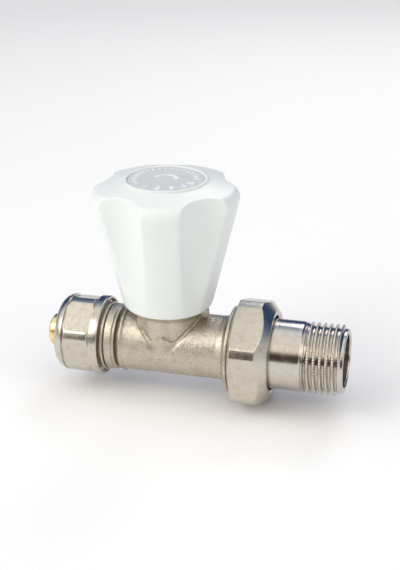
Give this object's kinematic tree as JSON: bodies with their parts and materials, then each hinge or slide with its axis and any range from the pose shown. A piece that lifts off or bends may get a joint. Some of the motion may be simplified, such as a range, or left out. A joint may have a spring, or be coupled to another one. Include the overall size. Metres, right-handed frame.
{
  "type": "manual radiator valve",
  "caption": "Straight manual radiator valve with a compression pipe inlet, a union tailpiece with male thread and a lobed numbered handwheel that lifts its disc off the seat.",
  "frame": {"origin": "bottom centre of the bounding box, straight below the middle of the valve; the pipe axis is 16.4 mm above it", "axes": "+X along the pipe axis from the compression inlet to the male-threaded tailpiece; +Z along the spindle, up to the handwheel"},
  "size_m": [0.0908, 0.0422, 0.0681],
  "materials": {
    "body_plating": "nickel plate over a fine cast surface, satin",
    "nut_plating": "nickel plate over a turned surface, semi-bright",
    "tailpiece_plating": "nickel plate over a turned surface, bright",
    "turned_brass": "machined brass, unplated",
    "ring_brass": "machined brass, unplated",
    "clip_steel": "zinc plated steel",
    "wheel_plastic": "white moulded plastic, soft gloss",
    "dial_plastic": "light grey moulded plastic with raised white marks",
    "seal_rubber": "black sealing rubber",
    "ptfe": "white sealing plastic",
    "fibre_seal": "brown fibre"
  },
  "bodies": {
    "valve": {"valve_body": "body_plating", "bonnet": "turned_brass", "bonnet_seal": "fibre_seal", "gland_packing": "ptfe", "gland_nut": "turned_brass", "gland_o_ring_lower": "seal_rubber", "gland_o_ring_upper": "seal_rubber"},
    "disc": {"disc_holder": "turned_brass", "disc_seal": "seal_rubber", "disc_screw": "turned_brass", "disc_clip": "clip_steel"},
    "handwheel_and_spindle": {"spindle": "turned_brass", "handwheel": "wheel_plastic", "handwheel_washer": "clip_steel", "handwheel_screw": "clip_steel", "dial_plate": "dial_plastic"},
    "inlet_kit": {"pipe_insert": "turned_brass", "insert_o_ring_outer": "seal_rubber", "insert_o_ring_inner": "seal_rubber", "insert_body_o_ring": "seal_rubber", "insulating_washer": "ptfe", "split_ring": "ring_brass"},
    "compression_nut": {"compression_nut": "nut_plating"},
    "tailpiece": {"tailpiece": "tailpiece_plating", "tailpiece_o_ring": "seal_rubber"},
    "union_nut": {"union_nut": "nut_plating"}
  },
  "joints": [
    {"name": "disc_lift", "type": "slide", "parent": "valve", "child": "disc", "axis": [0, 0, 1], "range_m": [0, 0.00376]},
    {"name": "handwheel_turn", "type": "hinge", "parent": "disc", "child": "handwheel_and_spindle", "pos_m": [-0.00825, 0.00023, 0.01641], "axis": [0, 0, 1], "range_deg": [0, 1080]},
    {"name": "inlet_draw", "type": "slide", "parent": "valve", "child": "inlet_kit", "axis": [-1, 0, 0], "range_m": [0, 0.00751]},
    {"name": "compression_nut_turn", "type": "hinge", "parent": "inlet_kit", "child": "compression_nut", "pos_m": [-0.03425, 0.00023, 0.01641], "axis": [-1, 0, 0], "range_deg": [0, 1800]},
    {"name": "tailpiece_draw", "type": "slide", "parent": "valve", "child": "tailpiece", "axis": [1, 0, 0], "range_m": [0, 0.00727]},
    {"name": "union_nut_turn", "type": "hinge", "parent": "tailpiece", "child": "union_nut", "pos_m": [0.01875, 0.00023, 0.01641], "axis": [1, 0, 0], "range_deg": [0, 1440]}
  ],
  "couplings": [
    {"joint": "disc_lift", "follows": "handwheel_turn", "m_per_rad": 0.00019894},
    {"joint": "inlet_draw", "follows": "compression_nut_turn", "m_per_rad": 0.00023873},
    {"joint": "tailpiece_draw", "follows": "union_nut_turn", "m_per_rad": 0.00028871}
  ]
}
